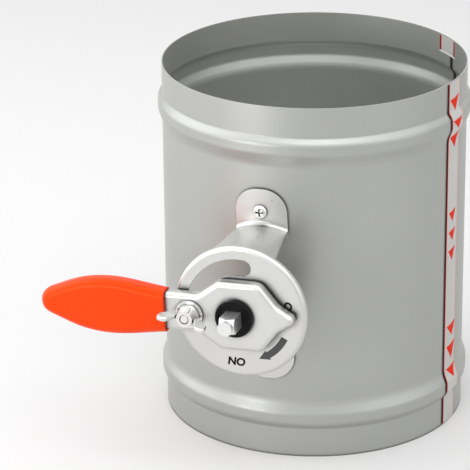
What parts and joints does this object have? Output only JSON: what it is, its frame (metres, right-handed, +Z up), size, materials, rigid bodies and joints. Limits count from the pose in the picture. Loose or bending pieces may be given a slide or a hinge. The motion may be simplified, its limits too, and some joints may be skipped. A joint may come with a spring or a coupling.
{
  "type": "manual duct damper",
  "caption": "Round duct damper: beaded sheet tube with a pivoting disc blade, a dial bracket with an arc slot, a pointer lever with a plastic grip and a wing-nut clamp.",
  "frame": {"origin": "centre of the bottom rim of the duct", "axes": "+Z up the duct's axis; the spindle lies along Y at mid height with the dial towards -Y; the closed lever points to -X"},
  "size_m": [0.2337, 0.28, 0.24],
  "materials": {
    "duct_sheet": "satin galvanised sheet",
    "zinc_steel": "bright zinc plate",
    "fastener_steel": "zinc plated",
    "shaft_steel": "drawn bright bar",
    "grip_plastic": "soft orange dip",
    "hub_plastic": "moulded black",
    "bearing_plastic": "moulded dark grey",
    "bush_plastic": "moulded natural",
    "seal_rubber": "pale grey extrusion",
    "seam_tape": "silver film",
    "sealant": "black bead"
  },
  "bodies": {
    "duct": {"duct_body": "duct_sheet", "seam_tape": "seam_tape", "rim_tape": "seam_tape", "seam_sealant": "sealant", "dial_bracket": "zinc_steel", "bracket_screws": "fastener_steel", "front_collar": "bearing_plastic", "rear_collar": "bearing_plastic"},
    "turning_set": {"front_bush": "bush_plastic", "rear_bush": "bush_plastic", "shaft": "shaft_steel", "blade": "duct_sheet", "blade_seal": "seal_rubber", "front_saddle": "zinc_steel", "rear_saddle": "zinc_steel", "saddle_screws": "fastener_steel", "saddle_nuts": "fastener_steel", "lever": "zinc_steel", "grip": "grip_plastic", "hub_bush": "hub_plastic", "slot_washer": "fastener_steel", "clamp_bolt": "fastener_steel", "clamp_washer": "fastener_steel"},
    "wing_nut": {"wing_nut": "fastener_steel"}
  },
  "joints": [
    {"name": "blade_turn", "type": "hinge", "parent": "duct", "child": "turning_set", "pos_m": [0, 0, 0.12], "axis": [0, 1, 0], "range_deg": [0, 92.5]},
    {"name": "wing_nut_turn", "type": "hinge", "parent": "turning_set", "child": "wing_nut", "pos_m": [-0.02997, -0.17, 0.11869], "axis": [0, -1, 0], "continuous": true}
  ]
}
